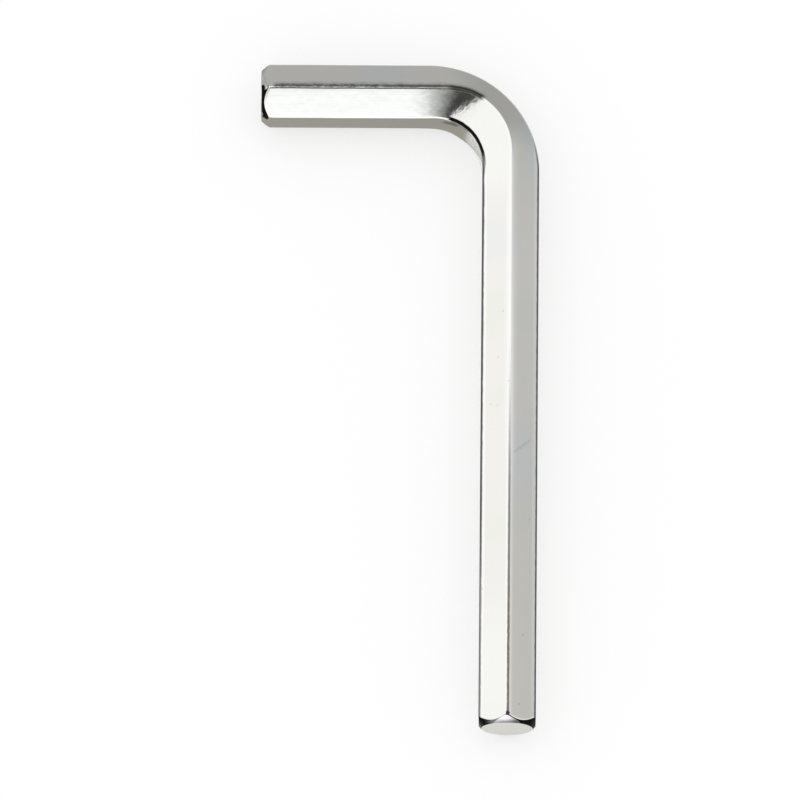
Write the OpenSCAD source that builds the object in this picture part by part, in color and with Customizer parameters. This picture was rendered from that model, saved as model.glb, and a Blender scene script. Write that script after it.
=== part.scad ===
// Hex key: one length of hexagonal steel bar, bent once to a right angle, with both ends
// chamfered. It lies on its side. Two flats of the bar face the inside and the outside of
// the bend, so a corner line runs along the top and another along the bottom.

/* [Bar] */
// Width of the bar across two opposite flats
across_flats = 8; // [5:0.5:12]
// Radius of the bar's six drawn corners
corner_r = 0.5; // [0.2:0.05:0.9]

/* [Arms] */
// Long arm, from the outer flat of the short arm to its end face
long_arm = 96; // [60:1:220]
// Short arm, from the outer flat of the long arm to its end face
short_arm = 39.3; // [28:0.1:70]

/* [Bend] */
// Radius of the bar's centre line round the bend
bend_r = 11.7; // [9:0.1:16]
// How far the top and bottom corner lines are pulled outwards at the middle of the bend
ridge_shift = 1.1; // [0:0.1:1.6]
// How far the inner corner lines are pulled outwards there
inner_shift = 0.2; // [0:0.05:0.8]
// How far each inner corner spreads sideways there, where the squeezed steel swells
inner_spread = 0.7; // [0:0.1:1.2]
// How far the inner flat bulges between its corners there
inner_crown = 0.6; // [0:0.05:0.8]

/* [Ends] */
// Diameter of the flat end face that the chamfer leaves
end_face_d = 7.15; // [4:0.05:7.6]
// Slope of the end chamfer, measured from the bar's axis
chamfer_deg = 40; // [25:1:60]

/* [Hidden] */

half_flats = across_flats / 2;
// Distance of the corner arcs' centres from the bar's axis
corner_centre = (half_flats - corner_r) / cos(30);
// Half of the bar's width over its rounded corners, which is its height above the table
half_corners = corner_centre + corner_r;
// Both arms start where the bend ends
bend_reach = bend_r + half_flats;
long_bar = long_arm - bend_reach;
short_bar = short_arm - bend_reach;

// Steps of each corner's arc, an even number so that the bar's widest place is one of them
corner_steps = 6;
// Steps across the inner flat, and round the bend
crown_steps = 4;
bend_steps = 30;
// A line moved outwards by s at the middle of a right-angled bend has an arc smaller by s / this
corner_cut = sqrt(2) - 1;

// The arc centres of the six corners of a straight stretch, as [outwards, up], going round
// from the outer top corner
CORNERS = [for (k = [0:5]) corner_centre * [cos(60 * k + 30), sin(60 * k + 30)]];
// What the bend does to each of them: pull outwards, and swell sideways
PULL = [0, ridge_shift, inner_shift, inner_shift, ridge_shift, 0];
SWELL = [0, 0, inner_spread, -inner_spread, 0, 0];
// The inner flat, between corners 2 and 3, is the one that bulges
INNER_TOP = 2;
INNER_BOTTOM = 3;

// Share of the bend's full distortion at angle a, from none at its ends to 1 in its middle
function share(a) = pow(sin(2 * a), 2);

// Distance from the bend's centre, at angle a, of a line that runs straight along both arms
// at a distance reach from that centre and turns the corner on an arc of radius r
function line_distance(a, reach, r) =
    let (
        off = reach - r,
        start = atan2(off, reach)
    )
    a < start ? reach / cos(a)
    : a > 90 - start ? reach / sin(a)
    : off * (sin(a) + cos(a)) + sqrt(r * r - pow(off * (sin(a) - cos(a)), 2));

// Arc centre of corner k at angle a of the bend, measured from the bend's centre
function bent_corner(k, a) =
    let (
        reach = bend_r + CORNERS[k][0],
        r = reach - PULL[k] / corner_cut
    )
    [line_distance(a, reach, r), CORNERS[k][1] + SWELL[k] * share(a)];

// Place u of the way down the crowned inner flat at angle a of the bend
function crown_place(u, a) =
    let (
        top = bent_corner(INNER_TOP, a),
        bottom = bent_corner(INNER_BOTTOM, a)
    )
    top * (1 - u) + bottom * u - [4 * u * (1 - u) * inner_crown * share(a), 0];

// The places that the outline goes round at angle a of the bend: each is an arc centre, the
// direction that the flat after it faces on a straight stretch, and its number of arc steps
function stations(a) = [
    for (k = [0:5])
        each concat(
            [[bent_corner(k, a), 60 * (k + 1), corner_steps]],
            k == INNER_TOP
                ? [for (i = [1:crown_steps - 1]) [crown_place(i / crown_steps, a), 180, 0]]
                : []
        )
];

// Direction that the line from p to q faces, as the turn nearest to the one expected
function facing(p, q, expected) =
    let (a = atan2(p[0] - q[0], q[1] - p[1]))
    a + 360 * round((expected - a) / 360);

// Outline of the bar at angle a of the bend: an arc at each corner, joined by the flats
function outline(a) =
    let (
        s = stations(a),
        n = len(s)
    )
    [
        for (i = [0:n - 1])
            let (
                last = s[(i + n - 1) % n],
                here = s[i],
                next = s[(i + 1) % n],
                before = facing(last[0], here[0], last[1] % 360),
                after = facing(here[0], next[0], here[1])
            )
            for (j = [0:here[2]])
                let (
                    turned = here[2] == 0 ? 0.5 : j / here[2],
                    dir = before + (after - before) * turned
                )
                here[0] + corner_r * [cos(dir), sin(dir)]
    ];

// Section of a straight stretch, outwards along X and up along Y
module bar_section() {
    translate([-bend_r, 0]) polygon(outline(0));
}

// A straight stretch along Z, whose chamfered end face lies at the bottom
module chamfered_bar(length) {
    intersection() {
        linear_extrude(height = length) bar_section();
        cylinder(
            h = length,
            r1 = end_face_d / 2,
            r2 = end_face_d / 2 + length * tan(chamfer_deg),
            $fn = 96
        );
    }
}

// The bend about the Z axis, from the +Y side, where the short arm joins, to the +X side
module bend() {
    rings = [
        for (j = [0:bend_steps])
            let (a = 90 * j / bend_steps)
            [for (p = outline(a)) [p[0] * sin(a), p[0] * cos(a), p[1]]]
    ];
    ring_size = len(rings[0]);
    first_cap = [for (i = [0:ring_size - 1]) i];
    last_cap = [for (i = [ring_size - 1:-1:0]) bend_steps * ring_size + i];
    sides = [
        for (j = [0:bend_steps - 1])
            for (i = [0:ring_size - 1])
                let (
                    near = j * ring_size,
                    next = (i + 1) % ring_size
                )
                [near + i, near + ring_size + i, near + ring_size + next, near + next]
    ];
    polyhedron(
        points = [for (ring = rings) for (p = ring) p],
        faces = concat([first_cap], sides, [last_cap]),
        convexity = 4
    );
}

module hex_key() {
    color("silver")
        translate([short_arm / 2 - bend_reach, long_arm / 2 - bend_reach, half_corners]) {
            bend();
            // Short arm, towards -X, with its outer flat to +Y
            translate([-short_bar, bend_r, 0])
                rotate([90, 0, 90]) chamfered_bar(short_bar);
            // Long arm, towards -Y, with its outer flat to +X
            translate([bend_r, -long_bar, 0])
                rotate([-90, 0, 0]) chamfered_bar(long_bar);
        }
}

hex_key();
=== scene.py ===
# Hex key lying on its side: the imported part, dressed as bright plated steel, with its studio.
import math

import bpy
import numpy as np
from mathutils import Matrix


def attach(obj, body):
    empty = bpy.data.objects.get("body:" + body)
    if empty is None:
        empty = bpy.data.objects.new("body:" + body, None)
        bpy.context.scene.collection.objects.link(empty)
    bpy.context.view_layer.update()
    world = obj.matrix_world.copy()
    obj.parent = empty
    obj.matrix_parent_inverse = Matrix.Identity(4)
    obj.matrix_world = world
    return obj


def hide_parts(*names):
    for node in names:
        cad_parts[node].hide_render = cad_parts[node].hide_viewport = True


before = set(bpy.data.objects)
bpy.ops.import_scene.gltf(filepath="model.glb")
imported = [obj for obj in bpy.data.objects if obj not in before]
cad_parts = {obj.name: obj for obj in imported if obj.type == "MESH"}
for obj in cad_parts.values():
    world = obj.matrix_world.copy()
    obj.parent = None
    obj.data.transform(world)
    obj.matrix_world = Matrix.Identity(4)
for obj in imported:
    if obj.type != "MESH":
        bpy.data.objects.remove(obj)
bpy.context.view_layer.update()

# The key's bar: drawn steel of hexagonal section. Drawing leaves the six corners rounded, and
# no two of them quite alike along the bar. Two flats face the inside and outside of the bend,
# so one corner runs along the top of the key. Lengths up to the piece itself are in millimetres.
ACROSS_FLATS = 8.0
CORNER_R = 0.5
LONG_ARM = 96.0
SHORT_ARM = 39.3
BEND_R = 11.7

HALF_FLATS = ACROSS_FLATS / 2
HALF_CORNERS = (HALF_FLATS - CORNER_R) / math.cos(math.pi / 6) + CORNER_R
BEND_REACH = BEND_R + HALF_FLATS
LONG_BAR = LONG_ARM - BEND_REACH
SHORT_BAR = SHORT_ARM - BEND_REACH
BEND_RUN = BEND_R * math.pi / 2
# The bar's axis in its section, as distance from the bend's centre and height
BAR_AXIS = np.array([BEND_R, 0.0])

# The corners are counted from the outer top one, over the ridge, to the inner side
CORNERS = 6
OUTER_TOP = 0
RIDGE = 1
INNER_TOP = 2
CORNER_STEPS = 10
FLAT_STEPS = 7

# Each corner's radius drifts by two waves, a slow one and a quick one: their lengths per radian,
# their shares of the drift, and how far each corner's waves start after the last one's
CORNER_R_DRIFT = 0.09
DRIFT_MIDDLE = 0.5
SLOW_WAVE = 3.1
SLOW_WAVE_STEP = 0.4
SLOW_SHARE = 0.3
SLOW_START = 2.1
QUICK_WAVE = 1.27
QUICK_SHARE = 0.2
QUICK_START = 1.3


def corner_turn(k):
    """Direction of corner k in the bar's section: 0 is outwards, and a quarter turn is up."""
    return math.radians(60 * k + 30)


def flat_turn(k):
    """Direction that the flat after corner k faces."""
    return math.radians(60 * k + 60)


def corner_radii(run):
    """Radius of each corner at a distance along the bar: a slow drift that never sharpens it."""
    radii = []
    for k in range(CORNERS):
        slow = math.sin(run / (SLOW_WAVE + SLOW_WAVE_STEP * k) + SLOW_START * k)
        quick = math.sin(run / QUICK_WAVE + QUICK_START * k)
        drift = DRIFT_MIDDLE + SLOW_SHARE * slow + QUICK_SHARE * quick
        radii.append(CORNER_R + CORNER_R_DRIFT * max(0.0, drift))
    return radii


# The bend: the bar was bent once to a right angle. The squeezed inner flat swells and crowns,
# and the corner lines of the top and of the inside are pulled outwards, as on a real bent key.
RIDGE_SHIFT = 1.1
INNER_SHIFT = 0.2
INNER_SPREAD = 0.7
INNER_CROWN = 0.6
SWELL_REACH = 12.0
# A line moved outwards by s at the middle of a right-angled bend has an arc smaller by s / this
CORNER_CUT = math.sqrt(2) - 1
PULL = [0, RIDGE_SHIFT, INNER_SHIFT, INNER_SHIFT, RIDGE_SHIFT, 0]
SWELL = [0, 0, INNER_SPREAD, -INNER_SPREAD, 0, 0]


def swelling(run):
    """Share of the full swelling: 1 in the middle of the bend, none a little way up each arm."""
    return math.cos(math.pi / 2 * min(1.0, abs(run) / SWELL_REACH)) ** 2


def line_distance(a, reach, r):
    """Distance from the bend's centre of a line that turns the corner on an arc of radius r."""
    off = reach - r
    start = math.atan2(off, reach)
    if a < start:
        return reach / math.cos(a)
    if a > math.pi / 2 - start:
        return reach / math.sin(a)
    across = off * (math.sin(a) - math.cos(a))
    return off * (math.sin(a) + math.cos(a)) + math.sqrt(r * r - across ** 2)


def corner_place(k, radius, a, swollen):
    """Arc centre of corner k at angle a of the bend, as distance from its centre and height."""
    spoke = (HALF_FLATS - radius) / math.cos(math.pi / 6)
    reach = BEND_R + spoke * math.cos(corner_turn(k))
    out = line_distance(a, reach, reach - PULL[k] / CORNER_CUT)
    return np.array([out, spoke * math.sin(corner_turn(k)) + SWELL[k] * swollen])


def facing(p, q, expected):
    """Direction that the line from p to q faces, as the turn nearest to the one expected."""
    turn = math.atan2(p[0] - q[0], q[1] - p[1])
    return turn + 2 * math.pi * round((expected - turn) / (2 * math.pi))


def on_arc(centre, radius, turn):
    """Point of a corner's arc in the direction of a turn."""
    return centre + radius * np.array([math.cos(turn), math.sin(turn)])


def outline(a, radii, swollen=0.0):
    """Points round the bar at angle a of the bend: an arc at each corner, joined by the flats."""
    centres = [corner_place(k, radii[k], a, swollen) for k in range(CORNERS)]
    after = [facing(centres[k], centres[(k + 1) % CORNERS], flat_turn(k)) for k in range(CORNERS)]
    before = [after[-1] - 2 * math.pi] + after[:-1]
    crown = INNER_CROWN * swollen
    tilt = math.atan2(4 * crown, centres[INNER_TOP][1] - centres[INNER_TOP + 1][1])
    after[INNER_TOP] -= tilt
    before[INNER_TOP + 1] += tilt
    points = []
    for k in range(CORNERS):
        turns = np.linspace(before[k], after[k], CORNER_STEPS + 1)
        points += [on_arc(centres[k], radii[k], turn) for turn in turns]
        start = points[-1]
        following = (k + 1) % CORNERS
        goal = on_arc(centres[following], radii[following], before[following])
        for i in range(1, FLAT_STEPS):
            u = i / FLAT_STEPS
            point = start * (1 - u) + goal * u
            if k == INNER_TOP:
                point = point - np.array([4 * u * (1 - u) * crown, 0])
            points.append(point)
    return np.array(points)


# The two ends: cropped square and chamfered all round. The chamfer is a cone, so it meets the
# six flats in scallops, and a thin rounded edge runs along both of its sides.
END_FACE_R = 7.15 / 2
CHAMFER_SLOPE = math.radians(40)
EDGE_SOFT = 0.14
EDGE_ROLL = 0.3
EDGE_STEPS = (0.0, 0.25, 0.5, 0.75, 1.0)
CHAMFER_STEPS = (0.2, 0.4, 0.6, 0.8)
FACE_STEPS = (0.92, 0.75, 0.55, 0.35, 0.15)
# Each ring has a zone for the finish: below 0 on the arm, 0 at the chamfer's outer edge, 1 where
# the chamfer starts, about 2 where it ends, and 3 on the end face
ZONE_CHAMFER = 1
ZONE_FACE = 3
OUTER_EDGE_ZONES = (0, 0.25, 0.5, 0.75, ZONE_CHAMFER)
INNER_EDGE_ZONES = (2.25, 2.5, 2.75, ZONE_FACE)
# Rings this near an end lie at an even depth behind its scallops
SETTLE = 2.4


def end_rings(section):
    """Rings from the bar's side to the middle of its end face: section, depth and zone of each."""
    centred = section - BAR_AXIS
    radius = np.hypot(centred[:, 0], centred[:, 1])
    way = centred / radius[:, None]
    depth = (radius - END_FACE_R) / math.tan(CHAMFER_SLOPE)
    slant = depth / math.cos(CHAMFER_SLOPE)
    rings = []

    def add(r, d, zone):
        ring = way * np.broadcast_to(r, radius.shape)[:, None] + BAR_AXIS
        rings.append((ring, np.broadcast_to(d, radius.shape), zone))

    def down_chamfer(length):
        return radius - length * math.sin(CHAMFER_SLOPE), depth - length * math.cos(CHAMFER_SLOPE)

    def rounded(start, corner, goal, zones):
        for t, zone in zip(EDGE_STEPS, zones):
            pairs = zip(start, corner, goal)
            r, d = ((1 - t) ** 2 * s + 2 * t * (1 - t) * c + t * t * g for s, c, g in pairs)
            add(r, d, zone)

    rounded((radius, depth + EDGE_ROLL), (radius, depth), down_chamfer(EDGE_SOFT), OUTER_EDGE_ZONES)
    for share in CHAMFER_STEPS:
        down = EDGE_SOFT + share * (slant - 2 * EDGE_SOFT)
        add(*down_chamfer(down), ZONE_CHAMFER + down / 2)
    inside = END_FACE_R - EDGE_SOFT
    inner_zones = (ZONE_CHAMFER + slant / 2,) + INNER_EDGE_ZONES
    rounded(down_chamfer(slant - EDGE_SOFT), (END_FACE_R, 0.0), (inside, 0.0), inner_zones)
    for share in FACE_STEPS:
        add(inside * share, 0.0, ZONE_FACE)
    return rings


# The piece: rings of points from the middle of the short arm's end face, round the bend, to the
# middle of the long arm's, joined into one closed skin. Each point also keeps its place on the
# bar as it was before the bend, which the finish follows.
RING_GAP = 0.6
BEND_RINGS = 90
BEND_CENTRE = np.array([SHORT_ARM / 2 - BEND_REACH, LONG_ARM / 2 - BEND_REACH, HALF_CORNERS])
MM = 0.001


def bar_side(length, sign):
    """Rings of a straight arm, from the bend to its end: section, run past the bend and zone."""
    rings = []
    count = round(length / RING_GAP)
    for j in range(1, count + 1):
        left = length * (1 - j / count)
        run = sign * (BEND_RUN / 2 + length - left)
        section = outline(0.0, corner_radii(run), swelling(run))
        end = end_rings(section)
        if j == count:
            rings += [(ring, length - depth, zone) for ring, depth, zone in end]
            continue
        scallops = end[0][1]
        pulled = np.where(left < SETTLE, scallops + (SETTLE - scallops) * left / SETTLE, left)
        rings.append((section, length - pulled, -min(left, SETTLE)))
    return rings


def skin():
    """The whole key: its points, their places on the unbent bar, their zones, and its faces."""
    points, unbent, zones = [], [], []

    def keep(ring, straight, run, zone):
        run = np.broadcast_to(run, (len(ring),))
        points.append(ring)
        unbent.append(np.column_stack([run, straight[:, 0] - BEND_R, straight[:, 1]]))
        zones.append(np.broadcast_to(zone, (len(ring),)).astype(float))

    for section, past, zone in reversed(bar_side(SHORT_BAR, -1)):
        ring = np.column_stack([-past, section[:, 0], section[:, 1]])
        keep(ring, section, -BEND_RUN / 2 - past, zone)
    for j in range(BEND_RINGS + 1):
        a = math.pi / 2 * j / BEND_RINGS
        run = BEND_RUN * (j / BEND_RINGS - 0.5)
        radii = corner_radii(run)
        out, up = outline(a, radii, swelling(run)).T
        ring = np.column_stack([out * math.sin(a), out * math.cos(a), up])
        keep(ring, outline(0.0, radii), run, -SETTLE)
    for section, past, zone in bar_side(LONG_BAR, 1):
        ring = np.column_stack([section[:, 0], -past, section[:, 1]])
        keep(ring, section, BEND_RUN / 2 + past, zone)

    size = len(points[0])
    rows = len(points)
    around = [(i, (i + 1) % size) for i in range(size)]
    faces = [
        (j * size + i, (j + 1) * size + i, (j + 1) * size + following, j * size + following)
        for j in range(rows - 1)
        for i, following in around
    ]
    first, last = rows * size, rows * size + 1
    last_ring = (rows - 1) * size
    faces += [(first, i, following) for i, following in around]
    faces += [(last, last_ring + following, last_ring + i) for i, following in around]
    points.append(np.array([[-SHORT_BAR, BEND_R, 0.0], [BEND_R, -LONG_BAR, 0.0]]))
    unbent.append(np.array([[-BEND_RUN / 2 - SHORT_BAR, 0, 0], [BEND_RUN / 2 + LONG_BAR, 0, 0]]))
    zones.append(np.array([float(ZONE_FACE), float(ZONE_FACE)]))
    return (np.vstack(points) + BEND_CENTRE) * MM, np.vstack(unbent), np.concatenate(zones), faces, size


key_places, unbent_places, end_zones, skin_faces, ring_size = skin()
key_mesh = bpy.data.meshes.new("bent_bar")
key_mesh.from_pydata(key_places.tolist(), [], skin_faces)
key_mesh.polygons.foreach_set("use_smooth", [True] * len(skin_faces))
on_bar = key_mesh.attributes.new("on_bar", "FLOAT_VECTOR", "POINT")
on_bar.data.foreach_set("vector", unbent_places.ravel())
end_zone = key_mesh.attributes.new("end_zone", "FLOAT", "POINT")
end_zone.data.foreach_set("value", end_zones)
key_mesh.update()


def flat_true_normals(mesh):
    """Point normals weighed by face area: the flats shade as flats and only the corners turn."""
    sums = np.zeros((len(mesh.vertices), 3))
    for face in mesh.polygons:
        weight = np.array(face.normal) * face.area
        for v in face.vertices:
            sums[v] += weight
    return sums / np.linalg.norm(sums, axis=1)[:, None]


# How far the roll of the long arm's flats reaches, and where along the bar it starts and is full
ROLL_REACH = 0.25
ROLL_START = 1.0
ROLL_FULL = 7.0


def roll_over(normals):
    """Softens the normals round the long arm, where each flat rolls gently over to its corners."""
    for start in range(0, len(normals) - 2, ring_size):
        share = (unbent_places[start][0] - ROLL_START) / (ROLL_FULL - ROLL_START)
        if share <= 0 or end_zones[start] > 0:
            continue
        share = min(1.0, share)
        ring = slice(start, start + ring_size)
        spots = key_places[ring] / MM
        step = np.linalg.norm(np.roll(spots, -1, axis=0) - spots, axis=1)
        apart = np.linalg.norm(spots[:, None] - spots[None], axis=2)
        near = np.exp(-(apart / ROLL_REACH) ** 2) * (step + np.roll(step, 1))
        soft = near @ normals[ring]
        soft /= np.linalg.norm(soft, axis=1)[:, None]
        mixed = normals[ring] * (1 - share) + soft * share
        normals[ring] = mixed / np.linalg.norm(mixed, axis=1)[:, None]
    return normals


key_mesh.normals_split_custom_set_from_vertices(roll_over(flat_true_normals(key_mesh)).tolist())
bent_bar = bpy.data.objects.new("bent_bar", key_mesh)
bpy.context.collection.objects.link(bent_bar)

# The finish: bright nickel over drawn steel. It ripples slightly, more where the bend stretched
# and squeezed it, and carries faint drawing lines. Along the corners and at the ends, painted dark
# reflections, painted shade and painted highlights stand in for what the steel would mirror.
BRIGHT = (0.885, 0.875, 0.84, 1)
BRIGHT_GREEN = (0.86, 0.87, 0.815, 1)
BRIGHT_BLUE = (0.84, 0.875, 0.88, 1)
BRIGHT_WARM = (0.9, 0.88, 0.81, 1)
# Painted highlight for the lighter strips beside the corners
PAINTED_SHEEN = (0.97, 0.97, 0.95, 1)
FROSTED = (0.77, 0.77, 0.755, 1)
SCRATCHED = (0.42, 0.49, 0.53, 1)
SPECK = (0.45, 0.45, 0.44, 1)
# Painted shade and painted dark reflections along the corners, in the bend and at the ridge's foot
PAINTED_DARK = (0.05, 0.05, 0.052, 1)
CORNER_LINE_BLACK = (0.006, 0.006, 0.007, 1)
RUST = (0.21, 0.155, 0.13, 1)
# Painted reflections of the chamfers, from black to pale, and a painted highlight on the face's rim
PAINTED_CUT_BLACK = (0.006, 0.006, 0.007, 1)
CUT_SHADE = (0.12, 0.12, 0.12, 1)
CUT_GREY = (0.26, 0.26, 0.255, 1)
CUT_PAINTED_GREY = (0.66, 0.66, 0.65, 1)
CUT_HIGHLIGHT = (0.86, 0.84, 0.88, 1)
RIM_HIGHLIGHT = (0.9, 0.9, 0.87, 1)
FACE_STEEL = (0.695, 0.69, 0.665, 1)


class Recipe:
    """Node tree of one finish, with short names for the steps that build it."""

    def __init__(self, tree):
        self.tree = tree
        tree.nodes.clear()

    def feed(self, socket, value):
        if isinstance(value, bpy.types.NodeSocket):
            self.tree.links.new(value, socket)
        else:
            socket.default_value = value

    def add(self, kind, feeds=(), **settings):
        """Adds a node, gives it its settings, and feeds its inputs by name or number."""
        made = self.tree.nodes.new(kind)
        for name, value in settings.items():
            setattr(made, name, value)
        for key, value in dict(feeds).items():
            self.feed(made.inputs[key], value)
        return made

    def figure(self, operation, *values):
        """A sum, product or other figure made from one to three values."""
        return self.add("ShaderNodeMath", dict(enumerate(values)), operation=operation).outputs[0]

    def product(self, *values):
        result = values[0]
        for value in values[1:]:
            result = self.figure("MULTIPLY", result, value)
        return result

    def most(self, *values):
        """The largest of several values, which joins masks."""
        result = values[0]
        for value in values[1:]:
            result = self.figure("MAXIMUM", result, value)
        return result

    def off(self, value, goal):
        """How far a value lies from a goal, to either side."""
        return self.figure("ABSOLUTE", self.figure("SUBTRACT", value, goal))

    def beyond(self, mask):
        """What a mask leaves out."""
        return self.figure("SUBTRACT", 1.0, mask)

    def graded(self, share, low, high):
        """Goes from low to high while the share goes from 0 to 1."""
        return self.figure("MULTIPLY_ADD", share, high - low, low)

    def between(self, value, none, full):
        """0 where the value is at none or past it, 1 at full or past it, smooth in between."""
        low, high = min(none, full), max(none, full)
        ends = {"Value": value, "From Min": low, "From Max": high}
        ends.update({"To Min": float(none > full), "To Max": float(full > none)})
        return self.add("ShaderNodeMapRange", ends, interpolation_type="SMOOTHSTEP").outputs[0]

    def stretch(self, value, ends):
        """Four places: 0 up to the first, 1 from the second to the third, 0 from the fourth."""
        return self.product(self.between(value, ends[0], ends[1]), self.between(value, ends[3], ends[2]))

    def mixed(self, amount, first, second):
        """Colour that goes from the first to the second."""
        return self.add("ShaderNodeMix", {0: amount, 6: first, 7: second}, data_type="RGBA").outputs[2]

    def grain(self, place, scale, stretch=(1, 1, 1), detail=2.0, seed=0.0):
        """Noise with so many features per millimetre, drawn out by the stretch."""
        feeds = {"Vector": place, "Scale": stretch, "Location": (seed, seed, -seed)}
        moved = self.add("ShaderNodeMapping", feeds).outputs[0]
        feeds = {"Vector": moved, "Scale": scale, "Detail": detail}
        return self.add("ShaderNodeTexNoise", feeds).outputs["Fac"]


# A band along one of the bar's corner lines, the mask for the painted dark lines, painted shade
# and painted highlights along the corners, and for the rust on the ridge: a band of a given width
# round the line's place in the bar's section, with an edge that the raggedness makes uneven.
corner_band = bpy.data.node_groups.new("corner_band", "ShaderNodeTree")
for socket_name, kind in (
    ("Place", "NodeSocketVector"),
    ("Corner Out", "NodeSocketFloat"),
    ("Corner Up", "NodeSocketFloat"),
    ("Width", "NodeSocketFloat"),
    ("Raggedness", "NodeSocketFloat"),
    ("Softness", "NodeSocketFloat"),
):
    corner_band.interface.new_socket(socket_name, in_out="INPUT", socket_type=kind)
corner_band.interface.new_socket("Mask", in_out="OUTPUT", socket_type="NodeSocketFloat")
band_tree = Recipe(corner_band)
given = band_tree.add("NodeGroupInput").outputs
section_place = band_tree.add("ShaderNodeSeparateXYZ", {0: given["Place"]}).outputs
aside = band_tree.figure("SUBTRACT", section_place[1], given["Corner Out"])
below = band_tree.figure("SUBTRACT", section_place[2], given["Corner Up"])
apart = band_tree.figure("SQRT", band_tree.figure("MULTIPLY_ADD", aside, aside, band_tree.product(below, below)))
uneven = band_tree.grain(given["Place"], 1.3, stretch=(0.7, 1, 1), detail=3.0, seed=11.0)
uneven = band_tree.product(band_tree.figure("SUBTRACT", uneven, 0.5), given["Raggedness"])
reach = band_tree.figure("ADD", given["Width"], uneven)
inside_by = band_tree.figure("DIVIDE", band_tree.figure("SUBTRACT", reach, apart), given["Softness"])
band_tree.add("NodeGroupOutput", {"Mask": band_tree.figure("ADD", inside_by, 0.5)})

# The plating's own places: run is the distance along the unbent bar, past the middle of the bend
# towards the long arm's end, out is outwards and up is upwards from the bar's axis, and turn goes
# round that axis. Stretches give where a mark begins, is full, starts to fade and ends.
plating = bpy.data.materials.new("plated_steel")
plating.use_nodes = True
steel = Recipe(plating.node_tree)
place = steel.add("ShaderNodeAttribute", attribute_name="on_bar").outputs["Vector"]
zone = steel.add("ShaderNodeAttribute", attribute_name="end_zone").outputs["Fac"]
run, out, up = steel.add("ShaderNodeSeparateXYZ", {0: place}).outputs
turn = steel.figure("ARCTAN2", up, out)
BENT_STRETCH = (-13.0, -5.0, 5.0, 12.0)
RIDGE_BAND = 0.15
in_bend = steel.stretch(run, BENT_STRETCH)
on_long = steel.between(run, 4.0, 9.0)
long_half = steel.between(run, 0.0, 1.0)
outer_side = steel.between(out, -RIDGE_BAND, RIDGE_BAND)
inner_side = steel.between(out, RIDGE_BAND, -RIDGE_BAND)
streaks = steel.grain(place, 1.6, stretch=(1.0, 2.5, 2.5), detail=4.0, seed=5.0)
fine = steel.grain(place, 4.0, stretch=(0.5, 1, 1), detail=3.0, seed=7.0)


def corner_band_mask(k, width, raggedness, softness, shift=0.0):
    """Band along corner k of the bar, shifted so many millimetres towards the corner before it."""
    along = corner_turn(k) - math.radians(120)
    feeds = {"Place": place, "Width": width, "Raggedness": raggedness, "Softness": softness}
    feeds["Corner Out"] = HALF_CORNERS * math.cos(corner_turn(k)) + shift * math.cos(along)
    feeds["Corner Up"] = HALF_CORNERS * math.sin(corner_turn(k)) + shift * math.sin(along)
    mask = steel.add("ShaderNodeGroup", node_tree=corner_band)
    for name, value in feeds.items():
        steel.feed(mask.inputs[name], value)
    return steel.add("ShaderNodeClamp", {0: mask.outputs[0]}).outputs[0]


# The ridge: a rough painted dark line on the short arm, a painted dark reflection, solid towards
# the bend and broken near the end, with painted shade on its outer side, and a thin painted dark
# line far down the long arm, brown with rust in part.
ROUGH_STRETCH = (-31.3, -30.6, -2.0, -1.2)
rough_span = steel.stretch(run, ROUGH_STRETCH)
broken = steel.graded(steel.between(streaks, 0.36, 0.58), 0.55, 1.0)
solid = steel.most(broken, steel.between(run, -22.0, -11.0))
rough_line = corner_band_mask(RIDGE, width=0.3, raggedness=0.36, softness=0.26, shift=0.2)
rough_line = steel.product(rough_line, rough_span, solid, 0.76)
bend_line = corner_band_mask(RIDGE, width=0.4, raggedness=0.2, softness=0.16)
bend_line = steel.product(bend_line, rough_span, steel.between(run, -8.5, -5.5))
rough_line = steel.most(rough_line, bend_line)
ridge_shade = corner_band_mask(RIDGE, width=0.4, raggedness=0.5, softness=0.8, shift=0.35)
ridge_shade = steel.product(ridge_shade, rough_span, outer_side)
ridge_shade = steel.product(ridge_shade, steel.graded(steel.between(streaks, 0.3, 0.62), 0.3, 0.8))
thin_line = corner_band_mask(RIDGE, width=0.16, raggedness=0.08, softness=0.12, shift=0.12)
thin_line = steel.product(thin_line, steel.between(run, 32.0, 60.0))
rust_share = steel.product(thin_line, steel.between(run, 64.0, 76.0), steel.between(streaks, 0.35, 0.55))

# The outer and inner corners: a thin painted dark line, a painted dark reflection, down both sides
# of the long arm, a little fainter towards the end on the inner side.
outer_line = steel.product(corner_band_mask(OUTER_TOP, width=0.25, raggedness=0.16, softness=0.12), on_long)
inner_line = steel.product(corner_band_mask(INNER_TOP, width=0.33, raggedness=0.16, softness=0.14), on_long)
inner_line = steel.product(inner_line, steel.graded(steel.between(run, 58.0, 72.0), 1.0, 0.8))
side_lines = steel.product(steel.most(outer_line, inner_line), 0.88)
dark = steel.most(steel.product(rough_line, 0.95), side_lines)

# The inside of the bend: a painted black line along the squeezed corner, a painted dark
# reflection, a short slanted painted shade on the inner flat where the line starts, and a faint
# painted shade below the line.
BLACK_LINE_STRETCH = (-5.3, -4.6, 5.0, 10.0)
CREASE_STRETCH = (-6.6, -5.2, -3.2, -2.0)
CREASE_SLANT = 0.11
CREASE_UP = 2.16
FOOT_STRETCH = (-4.7, -4.0, -0.4, 0.9)
corner_black_line = corner_band_mask(INNER_TOP, width=0.26, raggedness=0.12, softness=0.1, shift=0.27)
corner_black_line = steel.product(corner_black_line, steel.stretch(run, BLACK_LINE_STRETCH))
from_crease = steel.off(up, steel.figure("MULTIPLY_ADD", run, CREASE_SLANT, CREASE_UP))
crease_shade = steel.product(steel.between(from_crease, 0.4, 0.12), steel.between(out, -3.6, -3.8))
crease_shade = steel.product(crease_shade, steel.stretch(run, CREASE_STRETCH), 0.55)
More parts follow.
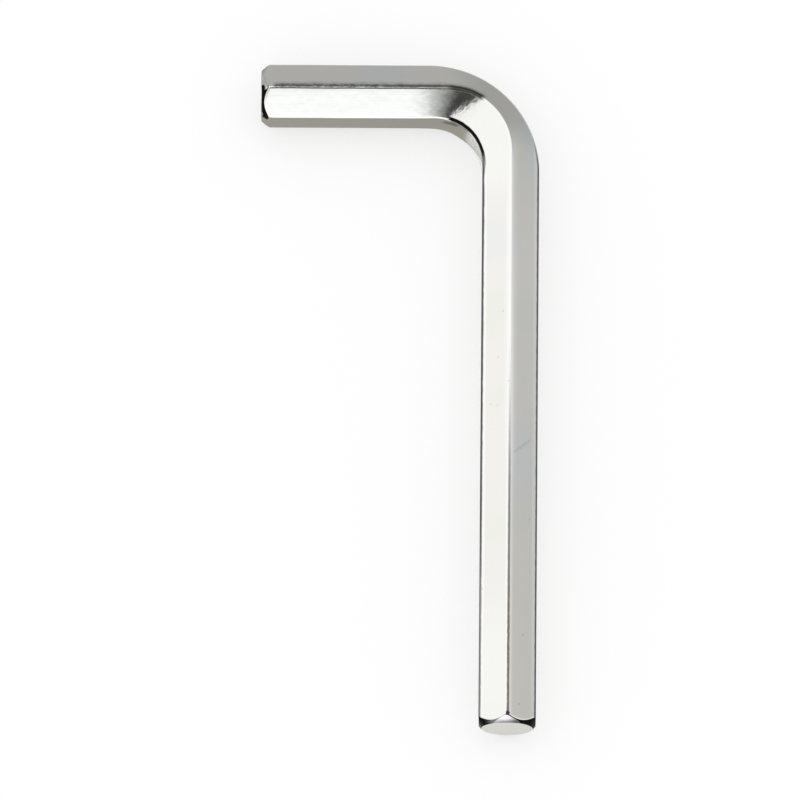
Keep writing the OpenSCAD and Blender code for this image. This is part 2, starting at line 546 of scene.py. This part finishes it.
line_foot_shade = corner_band_mask(INNER_TOP, width=0.18, raggedness=0.08, softness=0.1, shift=-0.02)
line_foot_shade = steel.product(line_foot_shade, steel.stretch(run, FOOT_STRETCH), 0.7)
crease_shade = steel.most(crease_shade, line_foot_shade)

# Where the bend squeezed the plating hardest, the inner flat is crazed and frosted beside the fold.
FROST_STRETCH = (-0.8, 1.4, 7.0, 10.0)
frost = steel.product(steel.stretch(run, FROST_STRETCH), steel.between(out, -3.75, -3.9))
frost = steel.product(frost, steel.between(up, -1.2, 1.0))
frost = steel.product(frost, steel.graded(steel.between(streaks, 0.35, 0.55), 0.7, 1.0))

# Painted highlights: the long arm is lighter beside its dark lines and along its ridge, and so is
# the bend's inside.
GLOW_STRETCH = (3.0, 8.0, 44.0, 60.0)
INNER_SHEEN_STRETCH = (-4.0, 0.0, 8.0, 17.0)
beside_outer = corner_band_mask(OUTER_TOP, width=0.75, raggedness=0.1, softness=0.4)
beside_inner = corner_band_mask(INNER_TOP, width=0.72, raggedness=0.1, softness=0.3)
beside_lines = steel.product(steel.most(beside_outer, beside_inner), on_long)
ridge_shine = corner_band_mask(RIDGE, width=0.28, raggedness=0.1, softness=0.3, shift=-0.12)
ridge_shine = steel.product(ridge_shine, steel.between(run, -1.8, -1.0))
ridge_glow = corner_band_mask(RIDGE, width=0.7, raggedness=0.05, softness=0.9, shift=0.3)
ridge_glow = steel.product(ridge_glow, steel.stretch(run, GLOW_STRETCH), 0.9)
inner_sheen = steel.product(steel.stretch(run, INNER_SHEEN_STRETCH), 0.6)
inner_sheen = steel.most(inner_sheen, steel.product(steel.between(run, 66.0, 80.0), 0.5))
inner_sheen = steel.product(inner_sheen, inner_side)
painted_shine = steel.most(beside_lines, ridge_shine, inner_sheen, ridge_glow)

# One shallow scratch across the outer facet of the long arm, and small specks all over.
SCRATCH_RUN = 51.3
SCRATCH_SLANT = 0.91
SCRATCH_WOBBLE = 0.6
SPECK_CELLS = 0.3
from_scratch = steel.figure("MULTIPLY_ADD", out, SCRATCH_SLANT, run)
wobble = steel.product(steel.figure("SUBTRACT", streaks, 0.5), SCRATCH_WOBBLE)
from_scratch = steel.off(steel.figure("ADD", from_scratch, wobble), SCRATCH_RUN)
scratch = steel.product(steel.between(from_scratch, 0.34, 0.06), steel.between(out, 0.2, 1.5))
scratch = steel.product(scratch, steel.between(up, 2.75, 3.15))
unrolled = steel.add("ShaderNodeCombineXYZ", {0: run, 1: steel.product(turn, HALF_CORNERS)}).outputs[0]
cell_feeds = {"Vector": unrolled, "Scale": SPECK_CELLS}
cells = steel.add("ShaderNodeTexVoronoi", cell_feeds, voronoi_dimensions="2D").outputs
chosen = steel.add("ShaderNodeSeparateXYZ", {0: cells["Color"]}).outputs[0]
specks = steel.product(steel.between(cells["Distance"], 0.07, 0.02), steel.between(chosen, 0.17, 0.1))
specks = steel.product(specks, steel.between(run, -9.0, -4.0))

# The ends: the chamfer is painted nearly black beside the scallops, a painted dark reflection, and
# the end face is dull with a painted highlight along its rim. Turns from the ridge and from the
# inner top flat's middle are in radians.
CHAMFER_ZONES = (0.6, 0.8, 2.5, 2.7)
EDGE_ZONES = (0.5, 0.8, 1.06, 1.14)
RIM_ZONES = (2.3, 2.6, 2.8, 3.0)
FOOT_ZONES = (-0.2, -0.05, 1.05, 1.2)
from_axis = steel.figure("SQRT", steel.figure("MULTIPLY_ADD", out, out, steel.product(up, up)))
from_top = steel.figure("SUBTRACT", turn, math.pi / 2)
from_inner = steel.off(turn, math.radians(120))
on_chamfer = steel.stretch(zone, CHAMFER_ZONES)
on_face = steel.between(zone, 2.5, 2.7)
on_edge = steel.stretch(zone, EDGE_ZONES)
on_edge = steel.product(on_edge, steel.most(long_half, steel.between(from_inner, 0.62, 0.52)))
on_rim = steel.product(steel.stretch(zone, RIM_ZONES), steel.between(steel.off(turn, math.pi / 2), 0.2, 0.6))

# On the long arm's chamfer a painted highlight widens from the ridge's foot down to the rim, with
# painted shade to one side, and the painted black fades to grey on the inner side. A small painted
# dark spot ends the ridge.
patch_half = steel.figure("MULTIPLY_ADD", from_axis, -0.66, 2.95)
chamfer_highlight = steel.figure("SUBTRACT", patch_half, steel.off(turn, math.pi / 2))
chamfer_highlight = steel.product(steel.between(chamfer_highlight, -0.03, 0.05), long_half)
patch_uneven = steel.graded(streaks, 0.66, 1.26)
patch_grey = steel.product(steel.between(from_axis, 4.05, 3.64), patch_uneven)
patch_grey = steel.product(patch_grey, steel.graded(steel.between(from_top, 0.5, 0.1), 0.6, 1.0))
patch_shade = steel.product(steel.between(from_top, 0.1, -0.36), steel.between(from_axis, 4.4, 3.7))
patch_shade = steel.product(patch_shade, patch_uneven)
inner_fade = steel.product(steel.between(from_top, 1.0, 0.48), steel.between(from_top, -0.04, 0.04))
inner_fade = steel.product(inner_fade, long_half)
foot = steel.between(steel.off(out, 0.1), 0.34, 0.16)
foot = steel.product(foot, steel.stretch(zone, FOOT_ZONES), long_half, steel.between(up, 3.6, 3.9))

# On the short arm's chamfer only a crescent beside the inner top flat is painted black, a painted
# dark reflection, with a gap at the ridge's foot. The rest is bright, with painted shade towards
# the outer side.
near_rim = steel.figure("MULTIPLY_ADD", from_top, 0.3, zone)
near_scallop = steel.product(steel.between(from_inner, 0.74, 0.62), steel.between(near_rim, 1.96, 1.84))
near_foot = steel.off(turn, math.pi / 2 - 0.07)
near_foot = steel.product(steel.between(near_foot, 0.16, 0.09), steel.between(zone, 1.42, 1.22))
near_scallop = steel.product(near_scallop, steel.beyond(near_foot))
short_plain = steel.product(steel.beyond(near_scallop), steel.beyond(long_half))

# The colours, laid over each other from the bright plating to the bare ends.
COOL_STRETCH = (44.0, 49.0, 52.0, 62.0)
COOL_BEND_STRETCH = (2.0, 5.0, 8.0, 12.0)
tint = steel.grain(place, 0.07, detail=1.0, seed=3.0)
cool = steel.product(steel.stretch(run, COOL_STRETCH), 0.7)
cool_bend = steel.product(steel.stretch(run, COOL_BEND_STRETCH), steel.between(out, 1.6, 3.0))
warm = steel.product(steel.between(run, 56.0, 68.0), 0.7)
# The chamfers' colour: painted dark reflections, painted shade and a painted highlight patch
cut = steel.mixed(steel.product(inner_fade, 0.8), PAINTED_CUT_BLACK, CUT_GREY)
patch = steel.mixed(patch_shade, steel.mixed(patch_grey, CUT_HIGHLIGHT, CUT_GREY), CUT_SHADE)
for amount, layer in (
    (chamfer_highlight, patch),
    (short_plain, BRIGHT),
    (steel.product(short_plain, steel.between(turn, 1.7, 1.5)), CUT_PAINTED_GREY),
    (steel.product(on_edge, steel.graded(inner_fade, 0.9, 0.0)), PAINTED_CUT_BLACK),
):
    cut = steel.mixed(amount, cut, layer)
colour = steel.mixed(steel.between(tint, 0.46, 0.36), BRIGHT, BRIGHT_GREEN)
# Over the plating's tints go painted highlights, the scratch and specks, painted shade and painted dark
# reflections, frost, rust and the ends' painted reflections
for amount, layer in (
    (steel.product(steel.between(tint, 0.58, 0.68), 0.6), BRIGHT_BLUE),
    (steel.product(steel.most(cool, cool_bend), outer_side), BRIGHT_BLUE),
    (steel.product(warm, outer_side), BRIGHT_WARM),
    (painted_shine, PAINTED_SHEEN),
    (steel.product(scratch, 0.5), SCRATCHED),
    (steel.product(specks, 0.33), SPECK),
    (steel.product(ridge_shade, 0.75), PAINTED_DARK),
    (frost, FROSTED),
    (dark, PAINTED_DARK),
    (crease_shade, PAINTED_DARK),
    (corner_black_line, CORNER_LINE_BLACK),
    (steel.product(thin_line, 0.8), PAINTED_DARK),
    (rust_share, RUST),
    (on_chamfer, cut),
    (on_face, FACE_STEEL),
    (steel.product(on_rim, 0.8), RIM_HIGHLIGHT),
    (foot, PAINTED_DARK),
):
    colour = steel.mixed(amount, colour, layer)

# The roughness and the relief. Each mask adds its own share: the relief's heights are parts of
# the depth, which is in metres, and the frosted patch shines less like metal.
BASE_ROUGHNESS = 0.07
FINE_ROUGHNESS = 0.06
RELIEF_DEPTH = 0.00003
FROST_METAL = 0.2
rough = steel.figure("MULTIPLY_ADD", fine, FINE_ROUGHNESS, BASE_ROUGHNESS)
for mask, added in ((dark, 0.3), (scratch, 0.2), (on_chamfer, 0.2), (on_face, 0.32)):
    rough = steel.figure("MULTIPLY_ADD", mask, added, rough)
peel = steel.grain(place, 0.55, detail=1.5, seed=8.0)
mottle = steel.grain(place, 1.5, detail=1.0, seed=4.0)
drawn = steel.grain(place, 1.0, stretch=(0.04, 7, 7), detail=2.0, seed=2.0)
relief = steel.product(peel, steel.graded(in_bend, 0.2, 0.7))
bend_mottle = steel.product(mottle, in_bend)
for mask, height in ((bend_mottle, 0.3), (drawn, 0.025), (fine, 0.012), (dark, -0.15)):
    relief = steel.figure("MULTIPLY_ADD", mask, height, relief)
bumped = steel.add("ShaderNodeBump", {"Strength": 1.0, "Distance": RELIEF_DEPTH, "Height": relief})
surface = steel.add("ShaderNodeBsdfPrincipled", {
    "Metallic": steel.graded(frost, 1.0, FROST_METAL),
    "Base Color": colour,
    "Roughness": rough,
    "Normal": bumped.outputs[0],
})
steel.add("ShaderNodeOutputMaterial", {"Surface": surface.outputs[0]})
key_mesh.materials.append(plating)

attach(bent_bar, "root")
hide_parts("hex_key")

# The table: a plain white sheet that the key lies on, large enough for every view. Seen and
# mirrored it is whiter than it is lit, so the key's shadow stays faint.
WHITE = (1, 1, 1, 1)
TABLE_WHITE = (0.93, 0.93, 0.93, 1)
TABLE_SIZE = 12.0
SHADOW_LIFT = 0.6


def seen_or_mirrored(recipe):
    """1 for rays from the camera, a mirror or glass, and 0 for the rays that carry light."""
    rays = recipe.add("ShaderNodeLightPath").outputs
    return recipe.most(rays["Is Camera Ray"], rays["Is Glossy Ray"], rays["Is Transmission Ray"])


bpy.ops.mesh.primitive_plane_add(size=TABLE_SIZE, location=(0, 0, 0))
table = bpy.context.object
table.name = "table"
sheet = bpy.data.materials.new("white_sheet")
sheet.use_nodes = True
paper = Recipe(sheet.node_tree)
matt = paper.add("ShaderNodeBsdfDiffuse", {"Color": TABLE_WHITE}).outputs[0]
plain_white = paper.add("ShaderNodeEmission", {"Color": WHITE, "Strength": 1.0}).outputs[0]
lifted = paper.product(seen_or_mirrored(paper), SHADOW_LIFT)
top = paper.add("ShaderNodeMixShader", {0: lifted, 1: matt, 2: plain_white})
paper.add("ShaderNodeOutputMaterial", {"Surface": top.outputs[0]})
table.data.materials.append(sheet)

# The room round the table: even pale light from all sides, seen and mirrored as plain white.
ROOM_LIGHT = 1.09

room = bpy.data.worlds.new("room")
bpy.context.scene.world = room
room.use_nodes = True
air = Recipe(room.node_tree)
strength = air.graded(seen_or_mirrored(air), ROOM_LIGHT, 1.0)
sky = air.add("ShaderNodeBackground", {"Color": WHITE, "Strength": strength})
air.add("ShaderNodeOutputWorld", {"Surface": sky.outputs[0]})


# The studio's cards: plain screens and flags that the bright steel mirrors. They are there for
# the steel alone: the camera doesn't see them and they take no light from the table.
def card(name, rows, tone=WHITE):
    """A card made of rows of two points, each row with its own shade, graded from row to row."""
    mesh = bpy.data.meshes.new(name)
    points = [point for first, second, level in rows for point in (first, second)]
    strips = [(2 * i, 2 * i + 1, 2 * i + 3, 2 * i + 2) for i in range(len(rows) - 1)]
    mesh.from_pydata(points, [], strips)
    shade = mesh.attributes.new("shade", "FLOAT", "POINT")
    shade.data.foreach_set("value", [row[2] for row in rows for end in range(2)])
    made = bpy.data.objects.new(name, mesh)
    bpy.context.collection.objects.link(made)
    paint = bpy.data.materials.new(name)
    paint.use_nodes = True
    board = Recipe(paint.node_tree)
    told = board.add("ShaderNodeAttribute", attribute_name="shade").outputs["Fac"]
    lit = board.add("ShaderNodeEmission", {"Color": tone, "Strength": told})
    board.add("ShaderNodeOutputMaterial", {"Surface": lit.outputs[0]})
    mesh.materials.append(paint)
    made.visible_camera = False
    made.visible_diffuse = False
    made.visible_shadow = False


# Two cards hang level over the key. A white screen is over the front. Behind it a cool black flag
# fades in, up to a slanted edge: it makes the dark cloud in the bend. Their sides and rows are
# given as slopes from the bend, and each row with its slope at the left, at the right, and shade.
BEND_SPOT = (0.008, 0.04)
OVERHEAD = 0.6
COOL = (0.95, 0.98, 1, 1)


def overhead(name, left, right, rows, tone=WHITE):
    """A level card above the key, between two slopes to the left and right."""
    x_left, x_right = (BEND_SPOT[0] + slope * OVERHEAD for slope in (left, right))
    placed = []
    for at_left, at_right, level in rows:
        y_left, y_right = (BEND_SPOT[1] + slope * OVERHEAD for slope in (at_left, at_right))
        placed.append(((x_left, y_left, OVERHEAD), (x_right, y_right, OVERHEAD), level))
    card(name, placed, tone)


overhead("front_screen", -0.9, 0.9, [(-3.6, -3.6, 1.35), (-0.95, -0.95, 1.35)])
overhead("black_flag", -0.5, 0.12, [
    (-0.95, -0.95, 1.35),
    (-0.925, -0.925, 1.3),
    (-0.9, -0.9, 1.1),
    (-0.86, -0.86, 0.92),
    (-0.82, -0.835, 0.74),
    (-0.76, -0.8, 0.62),
    (-0.68, -0.735, 0.5),
    (-0.6, -0.67, 0.36),
    (-0.5, -0.575, 0.23),
    (-0.42, -0.52, 0.09),
    (-0.4, -0.46, 0.05),
    (-0.372, 0.015, 0.05),
    (-0.325, 0.07, 0.4),
], COOL)

# Grey screens stand behind the key and to its right, just out of the camera's sight, along a line
# of places with their shades. Each grows lighter from its grey band towards its top edge.
WALL_BAND = 0.042
WALL_HEIGHT = 0.09
WALL_TOP = 1.0
wall_line = [
    (-0.16, 0.095, 0.45),
    (0.008, 0.0763, 0.455),
    (0.0245, 0.0732, 0.375),
    (0.042, 0.066, 0.395),
    (0.06, 0.055, 0.52),
    (0.068, 0.036, 0.575),
    (0.075, 0.02, 0.56),
    (0.078, -0.05, 0.56),
]
for i, ((x0, y0, first), (x1, y1, second)) in enumerate(zip(wall_line, wall_line[1:])):
    card("grey_screen_%d" % i, [
        ((x0, y0, 0), (x0, y0, WALL_BAND), first),
        ((x1, y1, 0), (x1, y1, WALL_BAND), second),
    ])
    card("pale_screen_%d" % i, [
        ((x0, y0, WALL_BAND), (x1, y1, WALL_BAND), (first + second) / 2),
        ((x0, y0, WALL_HEIGHT), (x1, y1, WALL_HEIGHT), WALL_TOP),
    ])

# A grey sheet lies on the table inside the bend, along both arms. Four more lie round the outside,
# for the flats that only the other views show, and grow lighter outwards.
SHEET_UP = 0.0001
SHEET_TONE = (1, 0.985, 0.9, 1)
OUTER_SHEETS = 4
SHEET_LINES = (
    ([(0.0205, -0.07), (0.0205, 0.034), (0.0155, 0.0452), (0.003, 0.0495), (-0.05, 0.0495)], 0.3),
    ([(0.034, -0.07), (0.034, 0.038), (0.025, 0.055), (0.006, 0.063), (-0.05, 0.063)], 0.62),
    ([(0.07, -0.07), (0.07, 0.05), (0.05, 0.085), (0.02, 0.1), (-0.05, 0.1)], 0.95),
)
card("grey_sheet", [
    ((-0.05, -0.075, SHEET_UP), (-0.05, 0.044, SHEET_UP), 0.37),
    ((0.0083, -0.075, SHEET_UP), (0.0083, 0.044, SHEET_UP), 0.34),
], SHEET_TONE)
for i in range(OUTER_SHEETS):
    card("outer_sheet_%d" % i, [
        ((*line[i], SHEET_UP), (*line[i + 1], SHEET_UP), level)
        for line, level in SHEET_LINES
    ])

# The camera: a long lens, high over the front of the key.
CAMERA_LENS = 513.2
CAMERA_SENSOR = 36.0
CAMERA_PLACE = (0.0194769, -0.4355247, 1.5440022)
CAMERA_TURN = (15.78312, 0.56571, 0.52041)
CAMERA_CLIP = (0.05, 20.0)
camera_data = bpy.data.cameras.new("camera")
camera_data.lens = CAMERA_LENS
camera_data.sensor_width = CAMERA_SENSOR
camera_data.clip_start, camera_data.clip_end = CAMERA_CLIP
camera = bpy.data.objects.new("camera", camera_data)
camera.location = CAMERA_PLACE
camera.rotation_euler = [math.radians(angle) for angle in CAMERA_TURN]
bpy.context.collection.objects.link(camera)
bpy.context.scene.camera = camera
bpy.context.scene.view_settings.view_transform = "Standard"
